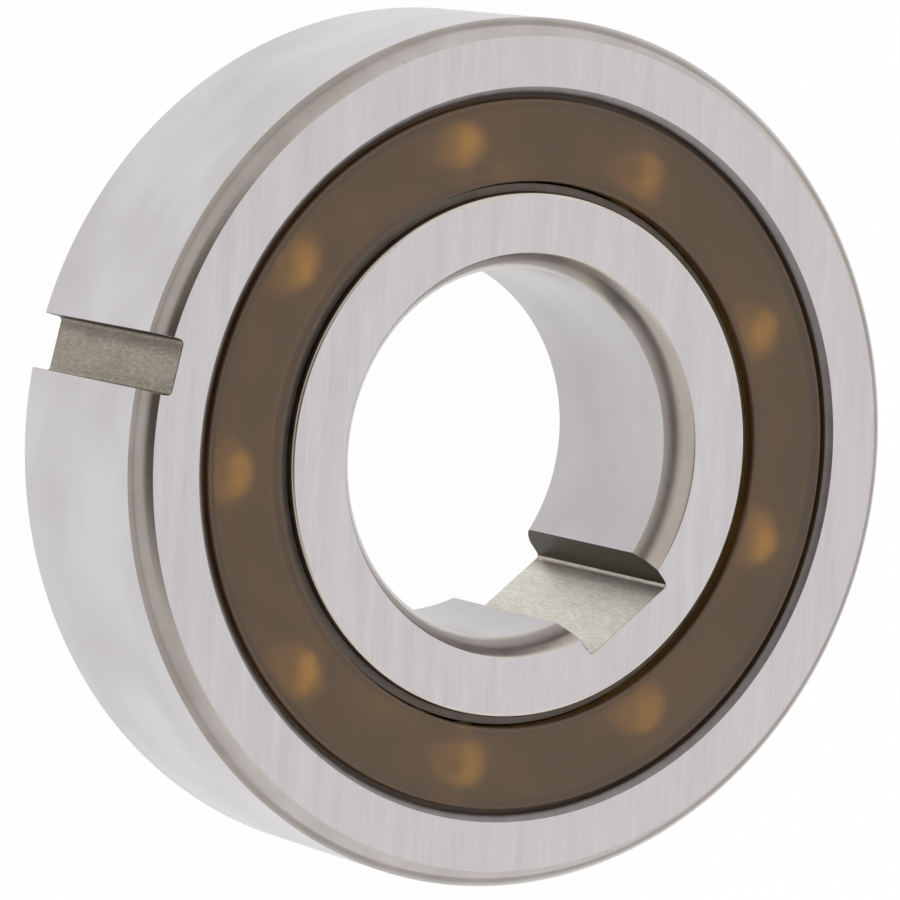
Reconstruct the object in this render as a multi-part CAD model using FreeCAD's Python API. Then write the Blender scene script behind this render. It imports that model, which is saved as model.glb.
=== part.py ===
import FreeCAD, Part
import math
import os

# A keyed one-way clutch with the boundary sizes of a light ball bearing. Between its two rings run a row of
# balls, which carries the load, and a row of sprags, which lets the inner ring turn one way and jams the other.
# Millimetres. Z is the axis of rotation and the origin is the middle of the bore, halfway through the width.
# The balls lie behind the shield on the +Z side, the sprags behind the shield on the -Z side.

# Boundary sizes: the inner ring's two faces stand a little inside the outer ring's
bore_diameter = 20.0
outside_diameter = 47.0
ring_width = 14.0
inner_ring_setback = 0.25

# Ring corners: chamfers with a full face, whose middle stands out of the straight chamfer
outer_corner_radial = 0.92
outer_corner_axial = 1.04
bore_corner_radial = 0.92
bore_corner_front_axial = 1.75
bore_corner_rear_axial = 0.85
corner_fullness = 0.11
recess_corner = 0.34
recess_corner_fullness = 0.03
shoulder_edge_radius = 0.22

# Keyways: one along the bore, one along the outside, both right through the width
inner_key_width = 6.0
inner_key_depth = 1.6
inner_key_angle = 231.2
outer_key_width = 3.0
outer_key_depth = 1.6
outer_key_angle = 90.0
key_corner_radius = 0.25

# Ball row, on a circle a little further out than halfway between the bore and the outside
ball_count = 9
ball_diameter = 5.556
ball_circle_offset = 0.25
first_ball_angle = 25.8
ball_race_clearance = 0.01
groove_conformity = 0.52
groove_depth = 0.43

# Shields: a flat web flush with the inner ring's face, and a lower rim that snaps under the outer ring
shield_recess = 0.25
shield_web_thickness = 0.45
shield_rim_thickness = 0.50
shield_rim_width = 1.1
shield_ledge = 0.15
shield_groove_width = 0.28
shield_snap_depth = 0.35
shield_rim_clearance = 0.05
shield_edge_break = 0.12
shield_race_clearance = 0.11
shield_lip_height = 0.40
shield_lip_thickness = 0.45
shoulder_step = 0.46
shoulder_depth = 0.60
ball_shield_gap = 0.20

# Ball cage: a crown that holds the balls from behind, with snap horns around each ball
ball_cage_thickness = 2.6
ball_cage_floor = 0.6
ball_cage_bar_height = 1.9
ball_cage_horn_reach = 1.2
ball_cage_horn_thickness = 1.1
ball_cage_relief_radius = 0.6
ball_pocket_clearance = 0.12

# Sprag row
sprag_count = 18
first_sprag_angle = 90.0
sprag_strut_angle = 4.0
sprag_cam_radius = 2.6
sprag_inner_head_width = 3.0
sprag_waist_width = 2.4
sprag_outer_head_width = 3.9
sprag_edge_radius = 0.25
sprag_race_clearance = 0.04
sprag_end_play = 0.06
row_gap = 0.25

# Sprag cage: a windowed sleeve with a flange that runs just inside the outer race
sprag_cage_thickness = 1.2
sprag_cage_setback = 1.45
sprag_cage_rim = 0.34
sprag_cage_flange_thickness = 0.30
sprag_cage_guide_clearance = 0.25
sprag_window_clearance = 0.50

# Garter spring, which lies in a notch across every sprag
spring_coil_diameter = 0.84
spring_notch_depth = 1.85
spring_notch_clearance = 0.40
spring_side_clearance = 0.15

# Places that follow from the sizes above
bore_radius = bore_diameter / 2
outside_radius = outside_diameter / 2
half_width = ring_width / 2
inner_half_width = half_width - inner_ring_setback
ball_radius = ball_diameter / 2
ball_circle_radius = (bore_radius + outside_radius) / 2 + ball_circle_offset

outer_race_radius = ball_circle_radius + ball_radius - groove_depth
inner_race_radius = ball_circle_radius - ball_radius + groove_depth
recess_radius = outer_race_radius + shield_ledge
shoulder_radius = inner_race_radius - shoulder_step

shield_top_z = half_width - shield_recess
shield_web_z = shield_top_z - shield_web_thickness
shield_seat_z = shield_web_z - shield_rim_thickness
shield_lip_z = shield_web_z - shield_lip_height
shoulder_z = inner_half_width - shoulder_depth
snap_radius = recess_radius + shield_snap_depth
shield_outer_radius = snap_radius - shield_rim_clearance
shield_web_radius = recess_radius - shield_groove_width
shield_inner_radius = inner_race_radius + shield_race_clearance

ball_z = shield_web_z - ball_shield_gap - ball_radius
pocket_radius = ball_radius + ball_pocket_clearance
ball_cage_back_z = ball_z - pocket_radius - ball_cage_floor

sprag_cage_front_z = ball_cage_back_z - row_gap
sprag_cage_back_z = -shield_seat_z + row_gap
sprag_back_z = sprag_cage_back_z + sprag_cage_rim + sprag_end_play
sprag_front_z = sprag_cage_front_z - sprag_cage_rim - sprag_end_play
sprag_middle_z = (sprag_back_z + sprag_front_z) / 2

inner_cam_centre = inner_race_radius + sprag_race_clearance + sprag_cam_radius
outer_cam_centre = outer_race_radius - sprag_race_clearance - sprag_cam_radius
notch_floor_radius = outer_race_radius - spring_notch_depth
spring_circle_radius = notch_floor_radius + spring_notch_clearance + spring_coil_diameter / 2

axis_point = FreeCAD.Vector(0, 0, 0)
axis_direction = FreeCAD.Vector(0, 0, 1)
same_place = 1e-6


class Outline:
    """A closed outline drawn point by point in the plane of the radius and the axis."""

    def __init__(self, radius, z):
        self.start = FreeCAD.Vector(radius, 0, z)
        self.pen = self.start
        self.edges = []

    def line(self, radius, z):
        end = FreeCAD.Vector(radius, 0, z)
        self.edges.append(Part.LineSegment(self.pen, end).toShape())
        self.pen = end
        return self

    def arc(self, middle_radius, middle_z, radius, z):
        end = FreeCAD.Vector(radius, 0, z)
        middle = FreeCAD.Vector(middle_radius, 0, middle_z)
        self.edges.append(Part.Arc(self.pen, middle, end).toShape())
        self.pen = end
        return self

    def full_corner(self, radius, z, outward_radius, outward_z, fullness=corner_fullness):
        """A chamfer whose middle stands out by the fullness, towards the given direction."""
        reach = fullness / math.hypot(outward_radius, outward_z)
        middle_radius = (self.pen.x + radius) / 2 + reach * outward_radius
        middle_z = (self.pen.z + z) / 2 + reach * outward_z
        return self.arc(middle_radius, middle_z, radius, z)

    def round_edge(self, radius, z, centre_radius, centre_z):
        """A quarter of a circle about a centre that lies equally far from both of its ends."""
        centre = FreeCAD.Vector(centre_radius, 0, centre_z)
        end = FreeCAD.Vector(radius, 0, z)
        across = (self.pen + end) / 2 - centre
        middle = centre + across * (centre.distanceToPoint(end) / across.Length)
        return self.arc(middle.x, middle.z, radius, z)

    def revolved(self):
        if self.pen != self.start:
            self.line(self.start.x, self.start.z)
        face = Part.Face(Part.Wire(self.edges))
        return face.revolve(axis_point, axis_direction, 360)


def turned(shape, degrees):
    """A copy of the shape, turned about the axis of the clutch."""
    copy = shape.copy()
    copy.rotate(axis_point, axis_direction, degrees)
    return copy


def ring_pattern(shape, count, first_angle):
    """Copies of a shape drawn at +X, evenly spaced around the axis."""
    return [turned(shape, first_angle + 360.0 / count * index) for index in range(count)]


def saved(shape, name):
    """Writes one piece after a check that it is a single sound solid."""
    solid = shape.Solids[0]
    if len(shape.Solids) != 1 or not solid.isValid():
        raise ValueError(name + " is not one sound solid")
    solid.exportStep("parts/" + name + ".step")
    print(name, round(solid.Volume, 2), "mm3")


def keyway_cutter(width, floor_radius, mouth_radius, angle):
    """A square-sided cutter, rounded along the floor's two edges, as long as the ring is wide."""
    low, high = sorted((floor_radius, mouth_radius))
    overrun = key_corner_radius
    size_z = ring_width + 2 * overrun
    cutter = Part.makeBox(high - low, width, size_z, FreeCAD.Vector(low, -width / 2, -size_z / 2))
    floor_edges = [
        edge for edge in cutter.Edges
        if abs(edge.CenterOfMass.x - floor_radius) < same_place and abs(edge.CenterOfMass.z) < same_place
    ]
    return turned(cutter.makeFillet(key_corner_radius, floor_edges), angle)


def groove_in_race(outline, race_radius, outward, from_above):
    """Draws the ball groove into a race, between the two points where it leaves the race."""
    groove_radius = groove_conformity * ball_diameter
    bottom_radius = ball_circle_radius + outward * (ball_radius + ball_race_clearance)
    centre_radius = bottom_radius - outward * groove_radius
    half_mouth = math.sqrt(groove_radius ** 2 - (race_radius - centre_radius) ** 2)
    side = 1 if from_above else -1
    outline.line(race_radius, ball_z + side * half_mouth)
    outline.arc(bottom_radius, ball_z, race_radius, ball_z - side * half_mouth)


def make_outer_ring():
    face_radius = outside_radius - outer_corner_radial
    side_z = half_width - outer_corner_axial
    outline = Outline(outside_radius, -side_z)
    outline.line(outside_radius, side_z)
    outline.full_corner(face_radius, half_width, outer_corner_axial, outer_corner_radial)
    outline.line(recess_radius + recess_corner, half_width)
    outline.full_corner(recess_radius, half_width - recess_corner, -1, 1, recess_corner_fullness)
    outline.line(recess_radius, shield_web_z + shield_rim_clearance)
    outline.line(snap_radius, shield_web_z)
    outline.line(snap_radius, shield_seat_z)
    outline.line(outer_race_radius, shield_seat_z)
    groove_in_race(outline, outer_race_radius, 1, True)
    outline.line(outer_race_radius, -shield_seat_z)
    outline.line(snap_radius, -shield_seat_z)
    outline.line(snap_radius, -shield_web_z)
    outline.line(recess_radius, -shield_web_z - shield_rim_clearance)
    outline.line(recess_radius, -half_width + recess_corner)
    outline.full_corner(recess_radius + recess_corner, -half_width, -1, -1, recess_corner_fullness)
    outline.line(face_radius, -half_width)
    outline.full_corner(outside_radius, -side_z, outer_corner_axial, -outer_corner_radial)
    mouth = outside_radius + key_corner_radius
    keyway = keyway_cutter(outer_key_width, outside_radius - outer_key_depth, mouth, outer_key_angle)
    return outline.revolved().cut(keyway)


def make_inner_ring():
    face_radius = bore_radius + bore_corner_radial
    front_side_z = inner_half_width - bore_corner_front_axial
    rear_side_z = inner_half_width - bore_corner_rear_axial
    edge_radius = shoulder_radius - shoulder_edge_radius
    edge_z = inner_half_width - shoulder_edge_radius
    outline = Outline(bore_radius, front_side_z)
    outline.line(bore_radius, -rear_side_z)
    outline.full_corner(face_radius, -inner_half_width, -bore_corner_rear_axial, -bore_corner_radial)
    outline.line(edge_radius, -inner_half_width)
    outline.round_edge(shoulder_radius, -edge_z, edge_radius, -edge_z)
    outline.line(shoulder_radius, -shoulder_z)
    outline.line(inner_race_radius, -shoulder_z)
    groove_in_race(outline, inner_race_radius, -1, False)
    outline.line(inner_race_radius, shoulder_z)
    outline.line(shoulder_radius, shoulder_z)
    outline.line(shoulder_radius, edge_z)
    outline.round_edge(edge_radius, inner_half_width, edge_radius, edge_z)
    outline.line(face_radius, inner_half_width)
    outline.full_corner(bore_radius, front_side_z, -bore_corner_front_axial, bore_corner_radial)
    mouth = bore_radius - bore_corner_radial
    keyway = keyway_cutter(inner_key_width, bore_radius + inner_key_depth, mouth, inner_key_angle)
    return outline.revolved().cut(keyway)


def make_shield():
    """The front shield: a flat web with a lip by the inner race, and a lower rim on the outer ring's ledge."""
    lip_radius = shield_inner_radius + shield_lip_thickness
    rim_inner_radius = shield_outer_radius - shield_rim_width
    outline = Outline(shield_inner_radius, shield_lip_z)
    outline.line(lip_radius, shield_lip_z)
    outline.line(lip_radius, shield_web_z)
    outline.line(rim_inner_radius, shield_web_z)
    outline.line(rim_inner_radius, shield_seat_z)
    outline.line(shield_outer_radius, shield_seat_z)
    outline.line(shield_outer_radius, shield_web_z - shield_edge_break)
    outline.line(shield_outer_radius - shield_edge_break, shield_web_z)
    outline.line(shield_web_radius, shield_web_z)
    outline.line(shield_web_radius, shield_top_z - shield_edge_break)
    outline.round_edge(
        shield_web_radius - shield_edge_break, shield_top_z,
        shield_web_radius - shield_edge_break, shield_top_z - shield_edge_break,
    )
    outline.line(shield_inner_radius + shield_edge_break, shield_top_z)
    outline.round_edge(
        shield_inner_radius, shield_top_z - shield_edge_break,
        shield_inner_radius + shield_edge_break, shield_top_z - shield_edge_break,
    )
    return outline.revolved()


def make_ball_cage():
    """A moulded crown: a ring with a spherical pocket for each ball and relief between the horns."""
    inner_radius = ball_circle_radius - ball_cage_thickness / 2
    outer_radius = ball_circle_radius + ball_cage_thickness / 2
    horn_z = ball_z + ball_cage_horn_reach
    crown = Outline(inner_radius, ball_cage_back_z)
    crown.line(outer_radius, ball_cage_back_z)
    crown.line(outer_radius, horn_z)
    crown.line(inner_radius, horn_z)
    pocket = Part.makeSphere(pocket_radius, FreeCAD.Vector(ball_circle_radius, 0, ball_z))
    pitch = 360.0 / ball_count
    chord = 2 * ball_circle_radius * math.sin(math.radians(pitch / 2))
    relief_width = chord - 2 * (pocket_radius + ball_cage_horn_thickness)
    relief_z = ball_cage_back_z + ball_cage_bar_height
    relief = Part.makeBox(
        2 * ball_cage_thickness, relief_width, horn_z,
        FreeCAD.Vector(ball_circle_radius - ball_cage_thickness, -relief_width / 2, relief_z),
    )
    foot_edges = [
        edge for edge in relief.Edges
        if abs(edge.CenterOfMass.z - relief_z) < same_place
        and abs(edge.CenterOfMass.x - ball_circle_radius) < same_place
    ]
    relief = relief.makeFillet(ball_cage_relief_radius, foot_edges)
    pockets = ring_pattern(pocket, ball_count, first_ball_angle)
    reliefs = ring_pattern(relief, ball_count, first_ball_angle + pitch / 2)
    return crown.revolved().cut(pockets + reliefs)


def make_balls():
    ball = Part.makeSphere(ball_radius, FreeCAD.Vector(ball_circle_radius, 0, ball_z))
    return ring_pattern(ball, ball_count, first_ball_angle)


def sprag_outline():
    """The sprag's section at +X: the radius runs along X and the way round along Y.

    Each head is an arc that rolls on its race. The two arc centres are offset around the clutch, so that the
    line between the two contacts leans by the strut angle: turned towards the radius the sprag grows
    taller and jams, turned away from it the sprag comes off the outer race. The sides between the heads
    are hollow arcs, narrowest at the waist.
    """
    race_distance = outer_race_radius - inner_race_radius
    lean = math.asin(race_distance * math.tan(math.radians(sprag_strut_angle)) / outer_race_radius)
    outer_x = outer_cam_centre * math.cos(lean)
    outer_y = -outer_cam_centre * math.sin(lean)
    inner_half = sprag_inner_head_width / 2
    outer_half = sprag_outer_head_width / 2
    inner_rise = math.sqrt(sprag_cam_radius ** 2 - inner_half ** 2)
    outer_rise = math.sqrt(sprag_cam_radius ** 2 - outer_half ** 2)
    inner_low = FreeCAD.Vector(inner_cam_centre - inner_rise, -inner_half, 0)
    inner_high = FreeCAD.Vector(inner_cam_centre - inner_rise, inner_half, 0)
    inner_tip = FreeCAD.Vector(inner_cam_centre - sprag_cam_radius, 0, 0)
    outer_low = FreeCAD.Vector(outer_x + outer_rise, outer_y - outer_half, 0)
    outer_high = FreeCAD.Vector(outer_x + outer_rise, outer_y + outer_half, 0)
    outer_tip = FreeCAD.Vector(outer_x + sprag_cam_radius, outer_y, 0)
    waist_x = (inner_low.x + outer_low.x) / 2
    waist_low = FreeCAD.Vector(waist_x, (outer_y - sprag_waist_width) / 2, 0)
    waist_high = FreeCAD.Vector(waist_x, (outer_y + sprag_waist_width) / 2, 0)
    arcs = [
        Part.Arc(inner_high, inner_tip, inner_low),
        Part.Arc(inner_low, waist_low, outer_low),
        Part.Arc(outer_low, outer_tip, outer_high),
        Part.Arc(outer_high, waist_high, inner_high),
    ]
    return Part.Wire([arc.toShape() for arc in arcs])


def make_sprags():
    sprag_length = sprag_front_z - sprag_back_z
    section = Part.Face(sprag_outline())
    section.translate(FreeCAD.Vector(0, 0, sprag_back_z))
    body = section.extrude(FreeCAD.Vector(0, 0, sprag_length))
    long_edges = [edge for edge in body.Edges if abs(edge.CenterOfMass.z - sprag_middle_z) < same_place]
    body = body.makeFillet(sprag_edge_radius, long_edges)
    notch_width = spring_coil_diameter + 2 * spring_side_clearance
    notch = Part.makeBox(
        2 * spring_notch_depth, 2 * sprag_outer_head_width, notch_width,
        FreeCAD.Vector(notch_floor_radius, -sprag_outer_head_width, sprag_middle_z - notch_width / 2),
    )
    return ring_pattern(body.cut(notch), sprag_count, first_sprag_angle)


def make_sprag_cage():
    inner_radius = inner_race_radius + sprag_cage_setback
    outer_radius = inner_radius + sprag_cage_thickness
    flange_radius = outer_race_radius - sprag_cage_guide_clearance
    sleeve = Outline(inner_radius, sprag_cage_back_z)
    sleeve.line(flange_radius, sprag_cage_back_z)
    sleeve.line(flange_radius, sprag_cage_back_z + sprag_cage_flange_thickness)
    sleeve.line(outer_radius, sprag_cage_back_z + sprag_cage_flange_thickness)
    sleeve.line(outer_radius, sprag_cage_front_z)
    sleeve.line(inner_radius, sprag_cage_front_z)
    window_width = sprag_waist_width + 2 * sprag_window_clearance
    window = Part.makeBox(
        2 * sprag_cage_thickness, window_width, sprag_front_z - sprag_back_z + 2 * sprag_end_play,
        FreeCAD.Vector(inner_radius - sprag_cage_thickness / 2, -window_width / 2, sprag_back_z - sprag_end_play),
    )
    return sleeve.revolved().cut(ring_pattern(window, sprag_count, first_sprag_angle))


def make_garter_spring():
    return Part.makeTorus(spring_circle_radius, spring_coil_diameter / 2, FreeCAD.Vector(0, 0, sprag_middle_z))


def main():
    os.makedirs("parts", exist_ok=True)
    saved(make_outer_ring(), "outer_ring")
    saved(make_inner_ring(), "inner_ring")
    front_shield = make_shield()
    saved(front_shield, "front_shield")
    saved(front_shield.mirror(axis_point, axis_direction), "rear_shield")
    saved(make_ball_cage(), "ball_cage")
    for index, ball in enumerate(make_balls(), 1):
        saved(ball, f"ball_{index:02d}")
    saved(make_sprag_cage(), "sprag_cage")
    saved(make_garter_spring(), "garter_spring")
    for index, sprag in enumerate(make_sprags(), 1):
        saved(sprag, f"sprag_{index:02d}")


main()
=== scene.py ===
# %% [markdown]
# This lesson dresses a one-way clutch that is built like a ball bearing: two hardened steel rings, a keyway
# in each, a brown plastic shield on each side, and balls and sprags between the rings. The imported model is
# loaded first and is never moved. Everything after it is worked out in the same place and at the same size.

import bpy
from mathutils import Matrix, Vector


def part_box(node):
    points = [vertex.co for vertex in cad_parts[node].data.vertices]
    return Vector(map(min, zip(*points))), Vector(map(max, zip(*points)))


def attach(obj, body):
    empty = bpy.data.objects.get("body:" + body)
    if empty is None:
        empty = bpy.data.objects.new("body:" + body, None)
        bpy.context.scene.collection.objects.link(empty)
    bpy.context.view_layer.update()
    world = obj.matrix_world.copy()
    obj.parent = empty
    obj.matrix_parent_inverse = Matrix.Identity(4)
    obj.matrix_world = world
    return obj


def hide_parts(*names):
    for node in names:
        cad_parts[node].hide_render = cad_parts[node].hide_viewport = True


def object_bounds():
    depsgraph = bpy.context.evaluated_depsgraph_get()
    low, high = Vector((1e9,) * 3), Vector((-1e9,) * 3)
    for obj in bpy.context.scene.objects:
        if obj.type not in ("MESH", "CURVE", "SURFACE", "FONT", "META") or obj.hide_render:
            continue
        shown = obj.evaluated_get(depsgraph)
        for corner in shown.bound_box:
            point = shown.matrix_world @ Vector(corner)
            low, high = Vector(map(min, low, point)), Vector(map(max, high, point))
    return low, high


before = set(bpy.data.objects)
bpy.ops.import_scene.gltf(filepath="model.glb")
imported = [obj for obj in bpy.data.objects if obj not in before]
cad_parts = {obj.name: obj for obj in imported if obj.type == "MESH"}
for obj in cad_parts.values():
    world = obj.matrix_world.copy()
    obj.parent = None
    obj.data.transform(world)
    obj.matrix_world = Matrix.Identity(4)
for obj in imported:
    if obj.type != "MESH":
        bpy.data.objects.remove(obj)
cad_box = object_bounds()

# %% [markdown]
# The sizes of a bearing are given in millimetres, and Blender works in metres. All shapes here are worked
# out in millimetres and scaled once, when they become a mesh. The outside of each ring is read from the
# loaded model, so that a surface can never be larger than the solid it stands for. Pairs of corner sizes
# are (radial, axial).

# %% Sizes of the rings
import math

import bmesh
import bpy
import numpy as np
from mathutils import Matrix, Vector

MM = 0.001


def node_reach(name):
    """The largest distance of a loaded node from the middle, along X and along Z, in millimetres."""
    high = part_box(name)[1]
    return high.x / MM, high.z / MM


OUTSIDE_RADIUS, HALF_WIDTH = (round(size, 3) for size in node_reach("outer_ring"))
INNER_HALF_WIDTH = round(node_reach("inner_ring")[1], 3)
BORE_RADIUS = 10.0
OUTER_CORNER = (0.92, 1.04)
BORE_CORNER_FRONT, BORE_CORNER_REAR = (0.92, 1.75), (0.92, 0.85)
CORNER_FULLNESS, OUTER_CORNER_EASE, EASE = 0.11, 0.3, 0.05
RECESS_CORNER, RECESS_FULLNESS = 0.34, 0.03
OUTER_RACE_RADIUS, RECESS_RADIUS, SNAP_RADIUS = 19.348, 19.498, 19.848
INNER_RACE_RADIUS, SHOULDER_RADIUS, SHOULDER_Z, SHOULDER_ROUND = 14.652, 14.192, 6.15, 0.22
SHIELD_TOP_Z, SHIELD_WEB_Z, SHIELD_SEAT_Z, SHIELD_LIP_Z = 6.75, 6.30, 5.80, 5.90
SHIELD_INNER, SHIELD_RIM, SHIELD_WEB, SHIELD_OUTER = 14.762, 18.698, 19.218, 19.798
SHIELD_LIP_THICKNESS, SHIELD_BREAK, RIM_CLEARANCE = 0.45, 0.12, 0.05
BROKEN_EDGE, MOULDED_EDGE, KEYWAY_EDGE = 0.05, 0.03, 0.04
BALL_CIRCLE_RADIUS, BALL_Z, BALL_RADIUS, GROOVE_RADIUS = 17.0, 3.322, 2.778, 2.889
BALL_CLEARANCE = 0.01
print("outside radius", OUTSIDE_RADIUS, "half width", HALF_WIDTH, "inner ring", INNER_HALF_WIDTH)

# %% [markdown]
# A turned ring is a closed outline carried round an axis. The outline is a short list of corners, with
# curves put in where the tool or the wheel left a curve: the full chamfers and the ball grooves. Each curve
# is an arc through three points, worked out as one array. Where a corner meets a face, the stones of the
# tumbler have rounded the edge over.


# %% Arcs and broken edges for an outline
def arc_through(start, middle, end, count):
    """Points on the circle through three points.

    The centre is where the perpendiculars through the middles of the two chords meet. The angle then runs
    evenly from the first point to the last, past the middle one.
    """
    start, middle, end = (np.asarray(point, float) for point in (start, middle, end))
    chords = np.array([middle - start, end - start])
    centre = start + np.linalg.solve(chords, (chords ** 2).sum(axis=1) / 2)
    angles = [math.atan2(*(point - centre)[::-1]) for point in (start, middle, end)]
    first, half, last = np.unwrap(angles)
    sweep = np.linspace(first, last, count)
    return centre + np.linalg.norm(start - centre) * np.stack([np.cos(sweep), np.sin(sweep)], axis=1)


def full_chamfer(start, end, outward, fullness=CORNER_FULLNESS, count=12):
    """A chamfer whose middle stands out of the straight line by the corner's fullness."""
    outward = np.asarray(outward, float) / math.hypot(*outward)
    middle = (np.asarray(start) + np.asarray(end)) / 2 + fullness * outward
    return arc_through(start, middle, end, count)


def quarter_round(start, end, centre, count=10):
    """A quarter of a circle: its middle is the centre plus the radius along (start + end) / 2 - centre."""
    start, end, centre = (np.asarray(point, float) for point in (start, end, centre))
    across = (start + end) / 2 - centre
    middle = centre + across * np.linalg.norm(start - centre) / np.linalg.norm(across)
    return arc_through(start, middle, end, count)


def eased_into_face(arc, arc_width, face_step, steps=12):
    """The arc with its last edge rounded over, by more along the arc than along the face.

    The curve weighs the last point kept of the arc, the edge, and a point on the face with (1-t)^2, 2t(1-t)
    and t^2. It stays on the metal's side of the arc and of the face.
    """
    edge = arc[-1]
    kept = arc[np.linalg.norm(arc - edge, axis=1) > arc_width]
    t = np.linspace(0, 1, steps + 1)[1:, None]
    curve = (1 - t) ** 2 * kept[-1] + 2 * t * (1 - t) * edge + t ** 2 * (edge + (face_step, 0))
    return np.concatenate([kept, curve])


def broken_edges(outline, width=BROKEN_EDGE, turn_limit=math.radians(12), steps=4):
    """The outline with every sharp corner rounded.

    A corner is cut back by the width on both sides, or by a fifth of its shorter side where that is less.
    The curve that joins the two cuts weighs the three points with (1-t)^2, 2t(1-t) and t^2. One more point
    on each side keeps the flat beyond it flat when it is shaded.
    """
    before = np.roll(outline, 1, axis=0) - outline
    after = np.roll(outline, -1, axis=0) - outline
    before_length = np.linalg.norm(before, axis=1, keepdims=True)
    after_length = np.linalg.norm(after, axis=1, keepdims=True)
    before, after = before / before_length, after / after_length
    turn = np.pi - np.arccos(np.clip((before * after).sum(axis=1, keepdims=True), -1, 1))
    room = np.minimum(before_length, after_length) / 5
    cut = np.where(turn > turn_limit, np.minimum(width, room), 0.0)
    t = np.linspace(0, 1, steps + 1)[None, :, None]
    start, end = (outline + before * cut)[:, None], (outline + after * cut)[:, None]
    curve = (1 - t) ** 2 * start + 2 * t * (1 - t) * outline[:, None] + t ** 2 * end
    flat_before, flat_after = (outline + before * 2 * cut)[:, None], (outline + after * 2 * cut)[:, None]
    points = np.concatenate([flat_before, curve, flat_after], axis=1).reshape(-1, 2)
    distance = np.linalg.norm(points - np.roll(points, 1, axis=0), axis=1)
    return points[distance > 1e-5]


print("a full chamfer has", len(full_chamfer((23.5, 5.96), (22.58, 7.0), (1, 1))), "points")

# %% [markdown]
# The outer ring is drawn from its front half, which is turned over for the rear. The inner ring is nearly
# the same from both sides, but its bore has a longer corner in front than at the rear. The groove's arc is
# a little larger than the ball, which is what lets a real ball roll without rubbing.


# %% The outlines of the rings and the shield
def ball_groove(race_radius, outward, count=24):
    """The arc of the ball groove, from where it leaves the race in front to where it does behind.

    Half its mouth is sqrt(R^2 - d^2), where R is its own radius and d how far its centre lies from the race.
    """
    bottom = BALL_CIRCLE_RADIUS + outward * (BALL_RADIUS + BALL_CLEARANCE)
    centre = bottom - outward * GROOVE_RADIUS
    half_mouth = math.sqrt(GROOVE_RADIUS ** 2 - (race_radius - centre) ** 2)
    mouth = [(race_radius, BALL_Z + half_mouth), (race_radius, BALL_Z - half_mouth)]
    return arc_through(mouth[0], (bottom, BALL_Z), mouth[1], count)


def outer_ring_outline():
    """The front half from the outside in to the race, the groove, and the front half turned over."""
    face_radius, side_z = OUTSIDE_RADIUS - OUTER_CORNER[0], HALF_WIDTH - OUTER_CORNER[1]
    chamfer = full_chamfer((OUTSIDE_RADIUS, side_z), (face_radius, HALF_WIDTH), OUTER_CORNER[::-1])
    mouth, depth = (RECESS_RADIUS + RECESS_CORNER, HALF_WIDTH), (RECESS_RADIUS, HALF_WIDTH - RECESS_CORNER)
    recess_corner = full_chamfer(mouth, depth, (-1, 1), RECESS_FULLNESS, 6)
    seat = np.array([
        (RECESS_RADIUS, SHIELD_WEB_Z + RIM_CLEARANCE),
        (SNAP_RADIUS, SHIELD_WEB_Z),
        (SNAP_RADIUS, SHIELD_SEAT_Z),
        (OUTER_RACE_RADIUS, SHIELD_SEAT_Z),
    ])
    front = np.concatenate([eased_into_face(chamfer, OUTER_CORNER_EASE, -EASE), recess_corner, seat])
    return broken_edges(np.concatenate([front, ball_groove(OUTER_RACE_RADIUS, 1), front[::-1] * (1, -1)]))


def inner_ring_half(bore_corner):
    """From the race over the shoulder's round edge and the face to the bore, as it is on the front side."""
    radial, axial = bore_corner
    edge_radius, edge_z = SHOULDER_RADIUS - SHOULDER_ROUND, INNER_HALF_WIDTH - SHOULDER_ROUND
    shoulder = np.array([(INNER_RACE_RADIUS, SHOULDER_Z), (SHOULDER_RADIUS, SHOULDER_Z)])
    edge = quarter_round((SHOULDER_RADIUS, edge_z), (edge_radius, INNER_HALF_WIDTH), (edge_radius, edge_z))
    face, wall = (BORE_RADIUS + radial, INNER_HALF_WIDTH), (BORE_RADIUS, INNER_HALF_WIDTH - axial)
    chamfer = eased_into_face(full_chamfer(wall, face, (-axial, radial)), axial / 3, EASE)
    return np.concatenate([shoulder, edge, chamfer[::-1]])


def inner_ring_outline():
    """The front half from the race to the bore, the rear half back to the race, and the groove."""
    front, rear = inner_ring_half(BORE_CORNER_FRONT), inner_ring_half(BORE_CORNER_REAR)[::-1] * (1, -1)
    return broken_edges(np.concatenate([front, rear, ball_groove(INNER_RACE_RADIUS, -1)[::-1]]))


def shield_outline():
    """A flat web with a lip by the inner race, and a lower rim that snaps into the outer ring."""
    low, break_z = SHIELD_WEB_Z - SHIELD_BREAK, SHIELD_TOP_Z - SHIELD_BREAK
    lip = SHIELD_INNER + SHIELD_LIP_THICKNESS
    web_break, inner_break = SHIELD_WEB - SHIELD_BREAK, SHIELD_INNER + SHIELD_BREAK
    below = np.array([
        (SHIELD_INNER, SHIELD_LIP_Z),
        (lip, SHIELD_LIP_Z),
        (lip, SHIELD_WEB_Z),
        (SHIELD_RIM, SHIELD_WEB_Z),
        (SHIELD_RIM, SHIELD_SEAT_Z),
        (SHIELD_OUTER, SHIELD_SEAT_Z),
        (SHIELD_OUTER, low),
        (SHIELD_OUTER - SHIELD_BREAK, SHIELD_WEB_Z),
        (SHIELD_WEB, SHIELD_WEB_Z),
    ])
    outer_round = quarter_round((SHIELD_WEB, break_z), (web_break, SHIELD_TOP_Z), (web_break, break_z))
    inner_round = quarter_round((inner_break, SHIELD_TOP_Z), (SHIELD_INNER, break_z), (inner_break, break_z))
    return broken_edges(np.concatenate([below, outer_round, inner_round]), MOULDED_EDGE)


for outline_maker in (outer_ring_outline, inner_ring_outline, shield_outline):
    print(outline_maker.__name__, len(outline_maker()), "points")

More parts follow.
